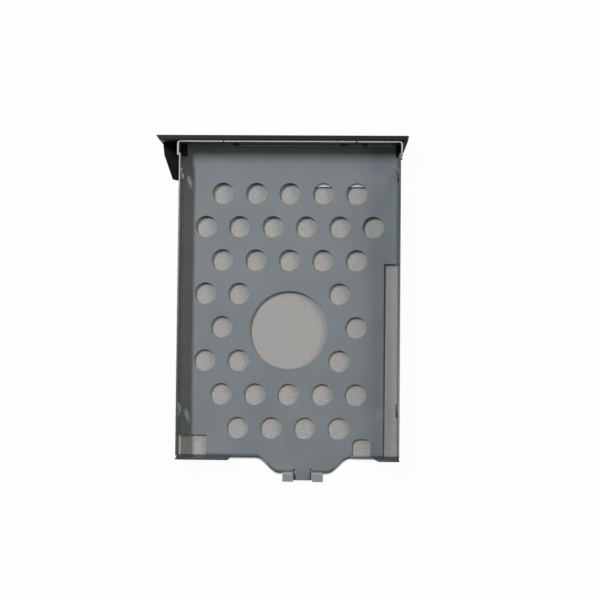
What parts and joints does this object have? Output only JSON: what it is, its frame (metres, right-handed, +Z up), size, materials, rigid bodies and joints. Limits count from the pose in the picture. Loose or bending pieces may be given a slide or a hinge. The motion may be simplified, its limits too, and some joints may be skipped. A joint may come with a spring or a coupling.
{
  "type": "laptop drive caddy",
  "caption": "Open folded steel tray with a perforated floor, dimpled side screw holes and rear hooks, and a black moulded bezel on its front, which carries a 2.5-inch drive in a laptop.",
  "frame": {"origin": "on the floor's top face, where the drive sits, at the middle of the tray's folded width and length", "axes": "+X across the tray to the slotted side, +Y towards the bezel, +Z up out of the open tray"},
  "size_m": [0.0822, 0.1126, 0.0071],
  "materials": {
    "zinc_plated_steel": "satin zinc plate, bare cut edges",
    "black_plastic": "fine matte texture"
  },
  "bodies": {
    "root": {"tray": "zinc_plated_steel", "bezel": "black_plastic"}
  },
  "joints": []
}
